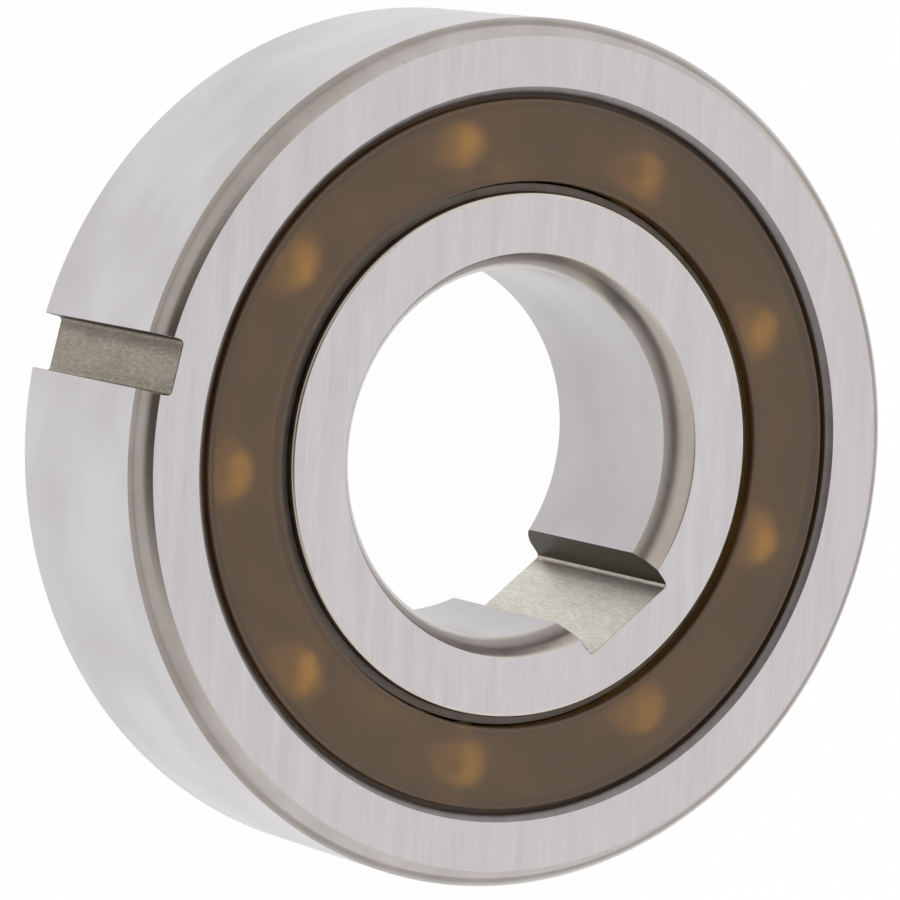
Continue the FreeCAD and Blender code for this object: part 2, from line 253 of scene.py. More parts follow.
# %% [markdown]
# A keyway cuts the turned surface with a flat floor and two straight walls. Instead of cutting one mesh
# with another, which leaves ragged edges, the columns of the grid are laid so that they follow the walls.
# Across the keyway they run parallel to its middle plane, and a point that would lie above the floor is
# brought down to it. On the rest of the ring the columns share out what is left of the circle. A column is
# doubled at each wall, once on the turned surface and once on the floor, and the faces between the two are
# the wall.

# %% Columns of a ring with a keyway
KEY_CORNER = 0.25
FLOOR_STEPS, CORNER_STEPS = 10, 5
FACE, RIM, CORNER, INSIDE, SEAT, KEYWAY, WALL = range(7)


def keyway_columns(width):
    """Places across the keyway: even over the flat floor, and finer round the two corners of the floor."""
    half, flat = width / 2, width / 2 - KEY_CORNER
    bend = flat + KEY_CORNER * np.sin(np.linspace(0, np.pi / 2, CORNER_STEPS + 1))
    return np.concatenate([-bend[::-1], np.linspace(-flat, flat, FLOOR_STEPS + 1)[1:-1], bend]), half


def ring_grid(outline, around, key_width=0.0, key_floor=0.0, outward=1):
    """The points of a turned ring with one keyway at +X, as an array of outline points by columns.

    Over the arc, x = r cos(a) and y = r sin(a), where a runs evenly from one wall to the other, and at a wall
    sin(a) = half width / r. Across the keyway y is the column's own place c, and x is sqrt(r^2 - c^2) or the
    floor, whichever is nearer to the ring's own metal. The floor rises at its two ends by a quarter circle.
    """
    radius, z = outline[:, :1], outline[:, 1:]
    across, half = keyway_columns(key_width)
    wall = np.arcsin(half / radius)
    angle = wall + np.linspace(0, 1, around + 1) * (2 * np.pi - 2 * wall)
    x, y = radius * np.cos(angle), radius * np.sin(angle)
    beyond = np.maximum(np.abs(across) - (half - KEY_CORNER), 0)
    lift = KEY_CORNER - np.sqrt(np.maximum(KEY_CORNER ** 2 - beyond ** 2, 0))
    turned = np.sqrt(radius ** 2 - across ** 2)
    floor = np.broadcast_to(key_floor + outward * lift, turned.shape)
    key_x = outward * np.minimum(outward * turned, outward * floor)
    on_floor = outward * turned > outward * floor
    at_wall = np.zeros_like(x, bool)
    at_wall[:, 0], at_wall[:, -1] = on_floor[:, -1], on_floor[:, 0]
    grid_x, grid_y = np.concatenate([key_x, x], axis=1), np.concatenate([across + 0 * radius, y], axis=1)
    return np.stack([grid_x, grid_y, z + 0 * grid_x], axis=2), np.concatenate([on_floor, at_wall], axis=1)


def closed_quads(rows, columns):
    """The four corners of every face of a grid that closes in both directions."""
    row, column = np.meshgrid(np.arange(rows), np.arange(columns), indexing="ij")
    next_row, next_column = (row + 1) % rows, (column + 1) % columns
    corners = [(row, column), (row, next_column), (next_row, next_column), (next_row, column)]
    return np.stack([a * columns + b for a, b in corners], axis=2).reshape(-1, 4)


print("columns across the outer keyway:", len(keyway_columns(3.0)[0]))

# %% [markdown]
# Each face is marked with the work that made it, because a bearing ring is not one finish. Its flat faces
# are ground on a large wheel, its bore, its outside and the recess of its shields are ground round the
# axis, its corners are only turned and tumbled, its shield seats are left hardened and are darkened as
# painted shade, and its keyway is cut by a tool with teeth, with walls painted dark as shade and, in the
# bore, a floor painted light. The mark becomes the face's material slot.


# %% From a grid to a mesh object
SAME_PLACE, SEAT_MARGIN = 1e-3, 0.01
MERGE_DISTANCE = 0.0002 * MM
SMOOTH_BELOW, SQUARE_ABOVE = math.radians(50), math.radians(60)


def region_of_rows(outline, half_width, rim_radius, corner_radius, seat_depth, round_depth=0.0):
    """The finish of each row of faces, from where the middle of its stretch of outline lies.

    The corner reaches to the end of its eased edge, and the round depth is that of a round edge beside a
    face. The wall of the outer ring's recess counts as rim, because it is ground round the axis too.
    """
    middle = (outline + np.roll(outline, -1, axis=0)) / 2
    radius, z = middle[:, 0], np.abs(middle[:, 1])
    on_face = z > half_width - SAME_PLACE
    on_rim = (np.abs(radius - rim_radius) < SAME_PLACE) | (np.abs(radius - RECESS_RADIUS) < SAME_PLACE)
    low, high = sorted((rim_radius, corner_radius))
    on_corner = ((radius > low - EASE) & (radius < high + EASE)) | (z > half_width - round_depth)
    on_seat = z > half_width - seat_depth - SEAT_MARGIN
    return np.select([on_face, on_rim, on_corner, on_seat], [FACE, RIM, CORNER, SEAT], INSIDE)


def mesh_object(name, points, faces, turn=0.0, regions=None):
    """A closed mesh from points in millimetres, turned about Z by some degrees."""
    spin = np.array(Matrix.Rotation(math.radians(turn), 3, "Z"))
    mesh = bpy.data.meshes.new(name)
    mesh.from_pydata(points.reshape(-1, 3) @ spin.T * MM, [], faces)
    if regions is not None:
        mesh.polygons.foreach_set("material_index", regions.astype(np.int32).ravel())
    built = bmesh.new()
    built.from_mesh(mesh)
    bmesh.ops.remove_doubles(built, verts=built.verts, dist=MERGE_DISTANCE)
    bmesh.ops.dissolve_degenerate(built, edges=built.edges, dist=MERGE_DISTANCE)
    open_edges = sum(not edge.is_manifold for edge in built.edges)
    built.to_mesh(mesh)
    built.free()
    mesh.set_sharp_from_angle(angle=SMOOTH_BELOW)
    piece = bpy.data.objects.new(name, mesh)
    bpy.context.scene.collection.objects.link(piece)
    print(name, len(mesh.polygons), "faces,", open_edges, "edges not closed")
    return piece


def vertex_places(mesh):
    """The points of a mesh, one row each."""
    places = np.empty(len(mesh.vertices) * 3)
    mesh.vertices.foreach_get("co", places)
    return places.reshape(-1, 3)


def soften_mouth(piece, width):
    """Breaks the square edges that the cutter left, which are the only ones still steeper than 60 degrees.

    The bevel's mitres can stand out of a face by a few thousandths, so all is held to the size that it had
    before.
    """
    before = vertex_places(piece.data)
    bevel = piece.modifiers.new("broken edges", "BEVEL")
    bevel.width = width * MM
    bevel.segments = 2
    bevel.limit_method = "ANGLE"
    bevel.angle_limit = SQUARE_ABOVE
    bevel.use_clamp_overlap = False
    bevel.harden_normals = True
    bevel.miter_outer = "MITER_ARC"
    shaped = piece.evaluated_get(bpy.context.evaluated_depsgraph_get())
    piece.data = bpy.data.meshes.new_from_object(shaped)
    piece.modifiers.clear()
    held = np.clip(vertex_places(piece.data), before.min(axis=0), before.max(axis=0))
    piece.data.vertices.foreach_set("co", held.ravel())
    piece.data.update()


print("finishes:", "ground face, ground rim, turned corner, honed inside, shield seat,",
      "keyway floor, keyway wall")

# %% [markdown]
# The outer ring. Its keyway is 3 mm wide and 1.6 mm deep and runs right through the width, so it opens on
# both faces. It is built with the keyway at +X and then turned to where the clutch has it. The key's last
# value says beside which of the two walls the coolant left its stain.

# %% Outer ring
AROUND = 420
OUTER_KEY = {"width": 3.0, "depth": 1.6, "angle": 90.0, "stain": -1}


def keyed_ring(name, outline, regions, key, rim_radius, outward):
    """A ring with its keyway, whose faces that rise more than they run across the keyway are its walls."""
    floor = rim_radius - outward * key["depth"]
    points, cut = ring_grid(outline, AROUND, key["width"], floor, outward)
    faces = closed_quads(*cut.shape)
    milled = cut & np.roll(cut, -1, axis=1)
    milled &= np.roll(milled, -1, axis=0)
    rise, run = (np.abs(np.roll(points[..., axis], -1, axis=1) - points[..., axis]) for axis in (0, 1))
    key_region = np.where(rise > run, WALL, KEYWAY)
    return mesh_object(name, points, faces, key["angle"], np.where(milled, key_region, regions[:, None]))


outline = outer_ring_outline()
regions = region_of_rows(
    outline, HALF_WIDTH, OUTSIDE_RADIUS, OUTSIDE_RADIUS - OUTER_CORNER[0], HALF_WIDTH - SHIELD_SEAT_Z
)
outer_ring = keyed_ring("outer_ring_ground", outline, regions, OUTER_KEY, OUTSIDE_RADIUS, 1)
soften_mouth(outer_ring, KEYWAY_EDGE)
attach(outer_ring, "outer_race")
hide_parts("outer_ring")

# %% [markdown]
# The inner ring is the same surface with its keyway in the bore, so the floor lies outside the bore and a
# point that falls short of it is pushed out to it. The keyway is 6 mm wide, as a shaft key for a 20 mm
# shaft is.

# %% Inner ring
INNER_KEY = {"width": 6.0, "depth": 1.6, "angle": 231.2, "stain": 1}

outline = inner_ring_outline()
regions = region_of_rows(
    outline, INNER_HALF_WIDTH, BORE_RADIUS, BORE_RADIUS + BORE_CORNER_FRONT[0],
    INNER_HALF_WIDTH - SHOULDER_Z, SHOULDER_ROUND,
)
inner_ring = keyed_ring("inner_ring_ground", outline, regions, INNER_KEY, BORE_RADIUS, -1)
soften_mouth(inner_ring, KEYWAY_EDGE)
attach(inner_ring, "inner_race")
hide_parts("inner_ring")

# %% [markdown]
# The shields are thin moulded rings with no keyway, so their columns are plain angles. The rear one is the
# front one turned over about the X axis, which keeps its faces pointing outwards.


# %% Shields
def turned_grid(outline, around):
    """A closed outline carried once round the axis: x = r cos(a), y = r sin(a), z = z."""
    angle = np.arange(around) * 2 * np.pi / around
    radius, z = outline[:, :1], outline[:, 1:]
    return np.stack([radius * np.cos(angle), radius * np.sin(angle), z + 0 * angle], axis=2)


def shield(name, node, side):
    """A shield in its place. Side 1 is the front, and -1 is the same shield turned over about the X axis."""
    points = turned_grid(shield_outline(), AROUND)
    faces = closed_quads(*points.shape[:2])
    piece = mesh_object(name, points * (1, side, side), faces)
    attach(piece, "outer_race")
    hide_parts(node)
    return piece


front_shield = shield("front_shield_moulded", "front_shield", 1)
rear_shield = shield("rear_shield_moulded", "rear_shield", -1)

# %% [markdown]
# Colours are written as they are seen, in sRGB, and turned to the linear values that Blender's light works
# with by one function. One more function adds a node, sets what is set on it and joins what is joined to
# it, so that a material reads as a list of what it is made of.


# %% Colour and node helpers
def colour(hex_code):
    """The linear colour of an sRGB code: v/12.92 below 0.04045, else ((v+0.055)/1.055)^2.4."""
    values = np.array([int(hex_code[i:i + 2], 16) for i in (1, 3, 5)]) / 255
    linear = np.where(values <= 0.04045, values / 12.92, ((values + 0.055) / 1.055) ** 2.4)
    return (*linear.tolist(), 1.0)


def add(tree, kind, inputs=None, **settings):
    """A new node. A socket in inputs is joined, and any other value there is set."""
    made = tree.nodes.new(kind)
    for name, value in settings.items():
        setattr(made, name, value)
    for key, value in (inputs or {}).items():
        if isinstance(value, bpy.types.NodeSocket):
            tree.links.new(value, made.inputs[key])
        else:
            made.inputs[key].default_value = value
    return made


def new_material(name):
    """A material with a bare output, and the place of a point on the object, in millimetres."""
    material = bpy.data.materials.new(name)
    material.use_nodes = True
    tree = material.node_tree
    tree.nodes.clear()
    output = add(tree, "ShaderNodeOutputMaterial")
    place = add(tree, "ShaderNodeTexCoord").outputs["Object"]
    place = add(tree, "ShaderNodeVectorMath", {0: place, 3: 1 / MM}, operation="SCALE").outputs[0]
    return material, tree, output, place


def stretched(tree, place, scale, turn=0.0):
    """The place turned about Z by some degrees, then scaled along each axis."""
    turned = add(tree, "ShaderNodeVectorRotate", {"Vector": place, "Angle": math.radians(-turn)},
                 rotation_type="Z_AXIS").outputs[0]
    return add(tree, "ShaderNodeVectorMath", {0: turned, 1: scale}, operation="MULTIPLY").outputs[0]


def noise(tree, vector, scale=1.0, detail=2.0, roughness=0.5):
    """A cloudy pattern, whose scale is about the number of its specks in a millimetre."""
    return add(tree, "ShaderNodeTexNoise",
               {"Vector": vector, "Scale": scale, "Detail": detail, "Roughness": roughness}).outputs[0]


def between(tree, value, low, high, new_low, new_high):
    """The value carried from one range to another, and held at its ends."""
    ranges = {"From Min": low, "From Max": high, "To Min": new_low, "To Max": new_high}
    return add(tree, "ShaderNodeMapRange", {"Value": value, **ranges}).outputs[0]


def blend(tree, factor, first, second):
    """One colour passing into another."""
    return add(tree, "ShaderNodeMix", {0: factor, 6: first, 7: second}, data_type="RGBA").outputs[2]


def bump(tree, height, depth, strength=1.0):
    """A surface normal pushed about by a height, whose depth is in millimetres."""
    return add(tree, "ShaderNodeBump",
               {"Height": height, "Distance": depth * MM, "Strength": strength}).outputs[0]


print("steel is", [round(value, 3) for value in colour("#c9c6c7")[:3]])

# %% [markdown]
# Hardened bearing steel, ground. Steel with chromium in it stays bright without plating. A flat face is
# ground by passing under a wide wheel, which leaves fine straight lines that all run one way. The lines are
# a noise that is long one way and a tenth of a millimetre wide the other, and they change colour, roughness
# and height together. Real lines are finer still, and these are as coarse as the picture needs to show
# them. Here they run 12.1 degrees from the X axis.

# %% Ground faces
STEEL, STEEL_DULL = colour("#cfcbcd"), colour("#c6c2c4")
GRIND_DIRECTION = 12.1


def ground_face():
    material, tree, output, place = new_material("bearing_steel_face_ground")
    fine = noise(tree, stretched(tree, place, (0.4, 11.0, 1.0), GRIND_DIRECTION), detail=2.0, roughness=0.6)
    broad = noise(tree, stretched(tree, place, (0.1, 1.3, 1.0), GRIND_DIRECTION), detail=2.0)
    both = add(tree, "ShaderNodeMath", {0: fine, 1: broad}, operation="ADD").outputs[0]
    lines = between(tree, both, 0.75, 1.25, 0.0, 1.0)
    shader = add(tree, "ShaderNodeBsdfPrincipled", {
        "Base Color": blend(tree, lines, STEEL_DULL, STEEL),
        "Metallic": 1.0,
        "Roughness": between(tree, lines, 0.0, 1.0, 0.33, 0.28),
        "Normal": bump(tree, fine, 0.002),
    })
    tree.links.new(shader.outputs[0], output.inputs[0])
    return material


face = ground_face()
print("made", face.name)

# %% [markdown]
# The bore and the outside are ground while the ring turns, so their lines run round the axis. They are
# about as wide as on the faces, and fainter. A noise that hardly changes along X and Y and quickly along Z
# gives such lines with no seam.

# %% Ground bore and outside
def ground_rim(name, dark, light):
    material, tree, output, place = new_material(name)
    fine = noise(tree, stretched(tree, place, (0.05, 0.05, 9.0)), detail=2.0)
    cloud = noise(tree, stretched(tree, place, (0.12, 0.12, 0.2)), detail=2.0)
    shader = add(tree, "ShaderNodeBsdfPrincipled", {
        "Base Color": blend(tree, between(tree, cloud, 0.35, 0.65, 0.0, 1.0), colour(dark), colour(light)),
        "Metallic": 1.0,
        "Roughness": between(tree, fine, 0.3, 0.7, 0.22, 0.26),
        "Normal": bump(tree, fine, 0.0008),
    })
    tree.links.new(shader.outputs[0], output.inputs[0])
    return material


outside = ground_rim("bearing_steel_outside_ground", "#cbc7c9", "#d7d4d6")
bore = ground_rim("bearing_steel_bore_ground", "#c1bdbf", "#cbc7c9")
print("made", outside.name, "and", bore.name)

# %% [markdown]
# The corners are turned before hardening and only tumbled afterwards. They stay darker and a little warm
# from the heat, and keep the fine lines of the turning tool. The stones of the tumbler leave nicks of a
# fifth of a millimetre. The bore's corner is the paler and less shiny one.

# %% Turned corners
def turned_corner(name, dark, light, roughness):
    material, tree, output, place = new_material(name)
    lines = noise(tree, stretched(tree, place, (0.08, 0.08, 11.0)), detail=2.0)
    cloud = noise(tree, stretched(tree, place, (0.35, 0.35, 0.35)), detail=3.0)
    nicks = between(tree, noise(tree, place, 4.5, detail=3.0, roughness=0.6), 0.66, 0.72, 0.0, 0.5)
    base = blend(tree, between(tree, cloud, 0.35, 0.65, 0.0, 1.0), colour(dark), colour(light))
    height = add(tree, "ShaderNodeMath", {0: lines, 1: nicks}, operation="SUBTRACT").outputs[0]
    shader = add(tree, "ShaderNodeBsdfPrincipled", {
        "Base Color": blend(tree, nicks, base, colour("#8d857e")),
        "Metallic": 1.0,
        "Roughness": between(tree, cloud, 0.3, 0.7, roughness - 0.03, roughness + 0.03),
        "Normal": bump(tree, height, 0.0015),
    })
    tree.links.new(shader.outputs[0], output.inputs[0])
    return material


outer_corner = turned_corner("bearing_steel_corner_tumbled", "#b9b4b0", "#c4bfbc", 0.16)
bore_corner = turned_corner("bearing_steel_bore_corner_tumbled", "#cac4bc", "#d4cfc9", 0.22)
print("made", outer_corner.name, "and", bore_corner.name)

# %% [markdown]
# The seats of the shields are turned, hardened and left alone, and the furnace turns them a darker grey.
# Their colour is darkened further as painted shade, even and a little dull, which draws a quiet dark line of
# shade on both sides of the shield. On the inner ring's shoulder the painted shade is darker still, and
# browner.

# %% Shield seats, darkened as painted shade
def hardened_seat_painted_shade(name, dark, light, roughness):
    material, tree, output, place = new_material(name)
    cloud = noise(tree, place, 0.9, detail=3.0)
    shader = add(tree, "ShaderNodeBsdfPrincipled", {
        "Base Color": blend(tree, between(tree, cloud, 0.35, 0.65, 0.0, 1.0), colour(dark), colour(light)),
        "Metallic": 1.0,
        "Roughness": between(tree, cloud, 0.3, 0.7, roughness - 0.03, roughness + 0.03),
    })
    tree.links.new(shader.outputs[0], output.inputs[0])
    return material


# Painted shade: both seat colours are darkened for the shade in the gap beside the shields, and the
# shoulder's is darker and browner.
seat = hardened_seat_painted_shade("bearing_steel_seat_hardened_painted_shade", "#898585", "#939090", 0.42)
shoulder_seat_painted_shade = hardened_seat_painted_shade("bearing_steel_seat_painted_shade_brown", "#645d57", "#736b64", 0.50)
print("made", seat.name, "and", shoulder_seat_painted_shade.name)

# %% [markdown]
# A keyway is cut and not ground. Up close its floor is a dull, speckled, warm grey, because each tooth of
# the cutter tears the steel a little. The specks are a noise an eighth of a millimetre wide and half a
# millimetre long, in colour and in height. Along one wall the coolant has dried to a brown stain, which
# follows the distance from the keyway's middle. The broached floor in the bore is painted far lighter than
# the milled one, lighter than steel is: painted light for the light that the bore's shade takes from it.

# %% Keyway floors
STAIN_WIDTH, FILLET_BLEND = 0.8, 0.05


def cut_floor(name, dark, light, roughness, key):
    material, tree, output, place = new_material(name)
    specks = noise(tree, stretched(tree, place, (8.0, 8.0, 2.0)), detail=3.0, roughness=0.7)
    cloud = noise(tree, stretched(tree, place, (0.9, 0.9, 0.35)), detail=3.0, roughness=0.6)
    both = add(tree, "ShaderNodeMath", {0: specks, 1: between(tree, cloud, 0.0, 1.0, 0.25, 0.75)}).outputs[0]
    clean = blend(tree, between(tree, both, 0.75, 1.25, 0.0, 1.0), colour(dark), colour(light))
    turned = stretched(tree, place, (1.0, 1.0, 1.0), key["angle"])
    across = add(tree, "ShaderNodeSeparateXYZ", {0: turned}).outputs["Y"]
    drift = between(tree, cloud, 0.2, 0.8, -0.3, 0.3)
    wandering = add(tree, "ShaderNodeMath", {0: drift, 1: across}).outputs[0]
    side = key["stain"]
    edge = side * (key["width"] / 2 - KEY_CORNER)
    stain = between(tree, wandering, edge - side * STAIN_WIDTH, edge, 0.0, 0.8)
    fillet = between(tree, across, edge - side * FILLET_BLEND, edge + side * FILLET_BLEND, 1.0, 0.6)
    stain = add(tree, "ShaderNodeMath", {0: stain, 1: fillet}, operation="MULTIPLY").outputs[0]
    shader = add(tree, "ShaderNodeBsdfPrincipled", {
        "Base Color": blend(tree, stain, clean, colour("#8d7f7a")),
        "Metallic": 1.0,
        "Roughness": between(tree, specks, 0.3, 0.7, roughness + 0.07, roughness - 0.07),
        "Normal": bump(tree, specks, 0.02),
    })
    tree.links.new(shader.outputs[0], output.inputs[0])
    return material


milled_floor = cut_floor("bearing_steel_keyway_milled", "#a39c8e", "#bbb5a8", 0.55, OUTER_KEY)
# Painted light: the broached floor's colours are far lighter than steel, standing in for light that the
# bore's shade takes away.
broached_floor_painted_light = cut_floor("bearing_steel_keyway_broached_painted_light", "#dad6ca", "#f4f1e8", 0.45, INNER_KEY)
print("made", milled_floor.name, "and", broached_floor_painted_light.name)

# %% [markdown]
# The walls of the keyways are not touched again after hardening. Their shiny greenish black is painted
# shade, for the dark that the walls mirror inside the keyway, and it is lighter in a few places of a fifth of
# a millimetre.

# %% Keyway walls
def wall_painted_shade():
    material, tree, output, place = new_material("bearing_steel_wall_painted_shade")
    specks = noise(tree, place, 5.0, detail=3.0, roughness=0.7)
    # Painted shade: the wall's colour is a greenish black, lighter in specks, for the dark it mirrors.
    film = blend(tree, between(tree, specks, 0.4, 0.75, 0.0, 1.0), colour("#353226"), colour("#57523d"))
    shader = add(tree, "ShaderNodeBsdfPrincipled", {
        "Base Color": film,
        "Metallic": 1.0,
        "Roughness": between(tree, specks, 0.3, 0.7, 0.34, 0.46),
        "Normal": bump(tree, specks, 0.006),
    })
    tree.links.new(shader.outputs[0], output.inputs[0])
    return material


wall = wall_painted_shade()
print("made", wall.name)

# %% [markdown]
# Inside, the races are honed to a mirror so that balls and sprags roll on them quietly. Only a faint cloud,
# a millimetre or two across, breaks it.

# %% Honed races
CLOUDED_STEEL = colour("#b9b7b8")


def honed_steel(name, base, roughness):
    material, tree, output, place = new_material(name)
    cloud = noise(tree, place, 0.6, detail=2.0)
    shader = add(tree, "ShaderNodeBsdfPrincipled", {
        "Base Color": blend(tree, between(tree, cloud, 0.35, 0.65, 0.0, 1.0), CLOUDED_STEEL, colour(base)),
        "Metallic": 1.0,
        "Roughness": between(tree, cloud, 0.3, 0.7, roughness, roughness + 0.05),
    })
    tree.links.new(shader.outputs[0], output.inputs[0])
    return material


honed = honed_steel("bearing_steel_race_honed", "#c9c7c8", 0.12)
print("made", honed.name)

# %% [markdown]
# A face's mark is the number of its material slot, so each ring gets its finishes in the order of the
# marks, from the ground face to the keyway wall.

# %% Finishes on the rings
outer_finishes = [face, outside, outer_corner, honed, seat, milled_floor, wall]
inner_finishes = [face, bore, bore_corner, honed, shoulder_seat_painted_shade, broached_floor_painted_light, wall]
for ring, finishes in ((outer_ring, outer_finishes), (inner_ring, inner_finishes)):
    for finish in finishes:
        ring.data.materials.append(finish)
    print(ring.name, "finishes:", [finish.name for finish in finishes])

# %% [markdown]
# The shield is a moulded plastic with a brown dye, thin enough for light to pass. What is right behind it
# shows as a blurred glow and what is deeper is lost. It is a mix of two surfaces: a brown one that sends
# light back, and an amber one that lets light through and scatters it on the way. Along the web's two edges,
# next to the rings, the brown is painted dark and lets less light through: a painted shade for the shade of
# the rings' edges. The mould's grain, a tenth of a millimetre wide, softens the shine.

# %% Shield plastic
PAINTED_SHADE_EDGE = (0.22, 0.04)
CLEAR_SHARE, CLEAR_SHARE_IN_PAINTED_SHADE = 0.80, 0.3


def dyed_plastic_with_edge_shade():
    material, tree, output, place = new_material("shield_plastic_moulded_edge_shade")
    cloud = noise(tree, place, 0.35, detail=2.0)
    grain = noise(tree, place, 9.0, detail=2.0)
    flat = add(tree, "ShaderNodeVectorMath", {0: place, 1: (1.0, 1.0, 0.0)}, operation="MULTIPLY").outputs[0]
    radius = add(tree, "ShaderNodeVectorMath", {0: flat}, operation="LENGTH").outputs["Value"]
    web_middle, half_web = (SHIELD_INNER + SHIELD_WEB) / 2, (SHIELD_WEB - SHIELD_INNER) / 2
    offset = add(tree, "ShaderNodeMath", {0: radius, 1: web_middle}, operation="SUBTRACT").outputs[0]
    from_middle = add(tree, "ShaderNodeMath", {0: offset}, operation="ABSOLUTE").outputs[0]
    # The edge mask is painted shade: 0 in the web's middle, 1 at its edges beside the rings.
    edge = between(tree, from_middle, *(half_web - inset for inset in PAINTED_SHADE_EDGE), 0.0, 1.0)
    brown = blend(tree, between(tree, cloud, 0.3, 0.7, 0.0, 1.0), colour("#9b7f67"), colour("#a4866c"))
    solid = add(tree, "ShaderNodeBsdfPrincipled", {
        # Painted shade: the brown passes into dark brown at the web's edges.
        "Base Color": blend(tree, edge, brown, colour("#57402f")),
        "Roughness": between(tree, cloud, 0.3, 0.7, 0.42, 0.50),
        "Normal": bump(tree, grain, 0.002),
    })
    clear = add(tree, "ShaderNodeBsdfPrincipled", {
        "Base Color": colour("#f6cf68"),
        "Roughness": 0.35,
        "Transmission Weight": 1.0,
        "IOR": 1.5,
    })
    # Painted shade: less light passes through at the web's edges.
    share = between(tree, edge, 0.0, 1.0, CLEAR_SHARE, CLEAR_SHARE_IN_PAINTED_SHADE)
    shader = add(tree, "ShaderNodeMixShader", {0: share, 1: solid.outputs[0], 2: clear.outputs[0]})
    tree.links.new(shader.outputs[0], output.inputs[0])
    return material


shield_plastic = dyed_plastic_with_edge_shade()
for piece in (front_shield, rear_shield):
    piece.data.materials.append(shield_plastic)
    print(piece.name, "finish:", shield_plastic.name)

# %% [markdown]
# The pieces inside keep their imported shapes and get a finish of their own. The balls are lapped and
# polished, the ball cage is moulded nylon, the sprags are hardened and tumbled, their cage is pressed from
# strip, and the spring is drawn wire.

# %% Pieces inside
def moulded_nylon():
    material, tree, output, place = new_material("cage_nylon_moulded")
    cloud = noise(tree, place, 0.5, detail=2.0)
    grain = noise(tree, place, 8.0, detail=2.0)
    shader = add(tree, "ShaderNodeBsdfPrincipled", {
        "Base Color": blend(
            tree, between(tree, cloud, 0.3, 0.7, 0.0, 1.0), colour("#33261a"), colour("#3d2d1e")),
        "Roughness": 0.5,
        "Normal": bump(tree, grain, 0.003),
    })
    tree.links.new(shader.outputs[0], output.inputs[0])
    return material


polished = honed_steel("ball_steel_polished", "#f2f0ee", 0.05)
tumbled = honed_steel("sprag_steel_tumbled", "#b3b0ae", 0.24)
pressed = honed_steel("cage_steel_pressed", "#bdbbb8", 0.30)
wire = honed_steel("spring_wire_drawn", "#a9a7a6", 0.28)
nylon = moulded_nylon()


def finish_of(node):
    """The finish of a piece inside, by what its name says it is."""
    if node.startswith("ball_cage"):
        return nylon
    if node.startswith("ball_"):
        return polished
    if node.startswith("sprag_cage"):
        return pressed
    return wire if node == "garter_spring" else tumbled


inside = sorted(set(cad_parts) - {"outer_ring", "inner_ring", "front_shield", "rear_shield"})
for node in inside:
    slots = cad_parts[node].data.materials
    slots.clear()
    slots.append(finish_of(node))
print(len(inside), "pieces inside")

# %% [markdown]
# The camera stands where the photographer stood. It looks at the clutch from above its outer keyway and is
# rolled so that the keyway lies to the left. The lens is long, so the far side is hardly smaller than the
# near side.

# %% Camera
AIM = Vector((-0.499, 0.357, -0.226)) * MM
CAMERA_AZIMUTH, CAMERA_ELEVATION, CAMERA_ROLL = 92.08, 58.92, -101.69
CAMERA_DISTANCE = 335.91 * MM
LENS, SENSOR = 245.93, 36.0


def direction(azimuth, elevation):
    """The unit vector that points to an azimuth from +X and an elevation, both in degrees."""
    azimuth, elevation = math.radians(azimuth), math.radians(elevation)
    flat = math.cos(elevation)
    return Vector((flat * math.cos(azimuth), flat * math.sin(azimuth), math.sin(elevation)))


to_camera = direction(CAMERA_AZIMUTH, CAMERA_ELEVATION)
level = (-to_camera).to_track_quat("-Z", "Y")
camera_data = bpy.data.cameras.new("camera")
camera_data.lens = LENS
camera_data.sensor_width = SENSOR
camera_data.sensor_fit = "HORIZONTAL"
camera_data.clip_start = 0.01
camera = bpy.data.objects.new("camera", camera_data)
camera.location = AIM + to_camera * CAMERA_DISTANCE
camera.rotation_mode = "QUATERNION"
roll = Matrix.Rotation(math.radians(CAMERA_ROLL), 3, -to_camera).to_quaternion()
camera.rotation_quaternion = roll @ level
bpy.context.scene.collection.objects.link(camera)
bpy.context.scene.camera = camera
print("camera at", [round(value / MM, 2) for value in camera.location], "mm")

# %% [markdown]
# Polished steel shows the room more than itself. The room is a light tent, white behind the clutch and
# overhead. On the photographer's side it is open: a little darker, darker still at the height of the table,
# and darkest where the camera looks in. The dark opening is what draws the crisp bands along the ring's
# corners.

# %% Light tent
OPENING_RIM, OPENING_MIDDLE = (math.cos(math.radians(angle)) for angle in (36, 12))
OPEN_SIDE, TABLE_EDGE = (-0.1, 0.35), (0.02, 0.16)

world = bpy.data.worlds.new("light_tent")
world.use_nodes = True
bpy.context.scene.world = world
tree = world.node_tree
tree.nodes.clear()

towards = add(tree, "ShaderNodeTexCoord").outputs["Generated"]
facing = add(tree, "ShaderNodeVectorMath", {0: towards, 1: tuple(to_camera)}, operation="DOT_PRODUCT")
facing = facing.outputs["Value"]
parts = add(tree, "ShaderNodeSeparateXYZ", {0: towards})
across, height = parts.outputs["Y"], parts.outputs["Z"]
opening = between(tree, facing, OPENING_RIM, OPENING_MIDDLE, 0.0, 1.0)
open_side = between(tree, across, *OPEN_SIDE, 0.0, 1.0)
low = between(tree, height, *TABLE_EDGE, 1.0, 0.0)
low = add(tree, "ShaderNodeMath", {0: low, 1: open_side}, operation="MULTIPLY").outputs[0]
tent = blend(tree, open_side, colour("#fdfcfb"), colour("#d8d4d0"))
tent = blend(tree, low, tent, colour("#b8b3af"))
tent = blend(tree, opening, tent, colour("#625c56"))
print("the tent has", len(tree.nodes), "nodes")

# %% [markdown]
# A ball behind a brown shield shows as one soft spot, where it mirrors a large lamp that hangs overhead,
# beyond the clutch. The white of the tent would drown that spot, so light that has come through a shield
# meets the lamp in a grey room instead. The steel outside sees the tent as it is, and to the camera itself
# the background is plain white.

# %% Lamp overhead
BOX_LAMP, LAMP_SHAPE, LAMP_REACH = direction(-88.0, 59.0), (0.6, 1.0, 1.0), (0.35, 0.60)

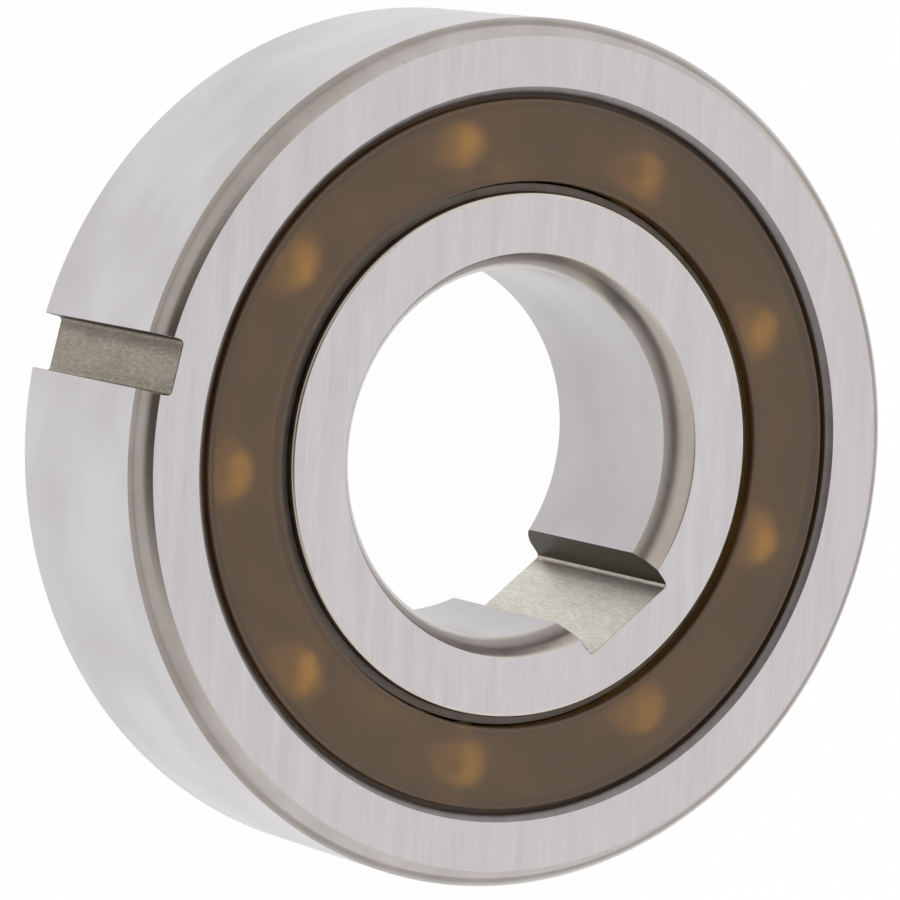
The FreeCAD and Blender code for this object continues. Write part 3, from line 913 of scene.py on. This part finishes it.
over = add(tree, "ShaderNodeVectorMath", {0: towards, 1: tuple(BOX_LAMP)}, operation="SUBTRACT").outputs[0]
over = add(tree, "ShaderNodeVectorMath", {0: over, 1: LAMP_SHAPE}, operation="MULTIPLY").outputs[0]
over = add(tree, "ShaderNodeVectorMath", {0: over}, operation="LENGTH").outputs["Value"]
lamp = blend(tree, between(tree, over, *LAMP_REACH, 1.0, 0.0), colour("#9a958f"), colour("#ffffff"))
path = add(tree, "ShaderNodeLightPath")
tent = blend(tree, path.outputs["Is Transmission Ray"], tent, lamp)
tent_light = add(tree, "ShaderNodeBackground", {"Color": tent, "Strength": 1.0}).outputs[0]
white = add(tree, "ShaderNodeBackground", {"Color": colour("#ffffff"), "Strength": 1.0}).outputs[0]
camera_ray = path.outputs["Is Camera Ray"]
seen = add(tree, "ShaderNodeMixShader", {0: camera_ray, 1: tent_light, 2: white}).outputs[0]
add(tree, "ShaderNodeOutputWorld", {0: seen})
print("the lamp hangs towards", [round(value, 2) for value in BOX_LAMP])

# %% [markdown]
# The floor is one square that belongs to the picture and not to the clutch. It lies a fiftieth of a
# millimetre under the clutch, so that no two faces share one plane.

# %% Floor
FLOOR_SIZE = 800 * MM
FLOOR_GAP = 0.02 * MM

half_floor = FLOOR_SIZE / 2
floor_z = cad_box[0][2] - FLOOR_GAP
floor_mesh = bpy.data.meshes.new("floor")
floor_signs = [(-1, -1), (1, -1), (1, 1), (-1, 1)]
floor_corners = [(half_floor * x, half_floor * y, floor_z) for x, y in floor_signs]
floor_mesh.from_pydata(floor_corners, [], [(0, 1, 2, 3)])
floor = bpy.data.objects.new("floor", floor_mesh)
bpy.context.scene.collection.objects.link(floor)
print("floor at", round(floor_z / MM, 2), "mm")

# %% [markdown]
# The floor is white card. Most of its brightness is its own, so that it shows as white behind the clutch
# and in the steel, and the rest is lit, so that it keeps the soft shadow where the clutch stands. In the
# steel it is a little darker where it is far away.

# %% White card
OWN_LIGHT, OWN_IN_STEEL = 0.98, 0.85
NEAR, FAR = 36 * MM, 66 * MM

card = bpy.data.materials.new("card_white")
card.use_nodes = True
tree = card.node_tree
tree.nodes.clear()
path = add(tree, "ShaderNodeLightPath")
glossy, through = path.outputs["Is Glossy Ray"], path.outputs["Is Transmission Ray"]
in_steel = add(tree, "ShaderNodeMath", {0: glossy, 1: through}, operation="MAXIMUM").outputs[0]
share = add(tree, "ShaderNodeMath", {0: in_steel, 1: OWN_IN_STEEL}, operation="MULTIPLY").outputs[0]
camera_ray = path.outputs["Is Camera Ray"]
seen = add(tree, "ShaderNodeMath", {0: camera_ray, 1: OWN_LIGHT}, operation="MULTIPLY").outputs[0]
share = add(tree, "ShaderNodeMath", {0: share, 1: seen}, operation="MAXIMUM").outputs[0]
place = add(tree, "ShaderNodeTexCoord").outputs["Object"]
distance = add(tree, "ShaderNodeVectorMath", {0: place}, operation="LENGTH").outputs["Value"]
far = between(tree, distance, NEAR, FAR, 0.0, 1.0)
far = add(tree, "ShaderNodeMath", {0: far, 1: glossy}, operation="MULTIPLY").outputs[0]
lit = add(tree, "ShaderNodeBsdfDiffuse", {"Color": colour("#f5f5f5")}).outputs[0]
own_colour = blend(tree, far, colour("#ffffff"), colour("#cbc7c3"))
own = add(tree, "ShaderNodeEmission", {"Color": own_colour, "Strength": 1.0}).outputs[0]
mixed = add(tree, "ShaderNodeMixShader", {0: share, 1: lit, 2: own}).outputs[0]
add(tree, "ShaderNodeOutputMaterial", {0: mixed})
floor_mesh.materials.append(card)
print("floor finish:", card.name)

# %% [markdown]
# The picture is kept as it is rendered, with no film look over it.

# %% Finish of the picture
bpy.context.scene.view_settings.view_transform = "Standard"
bpy.context.view_layer.update()
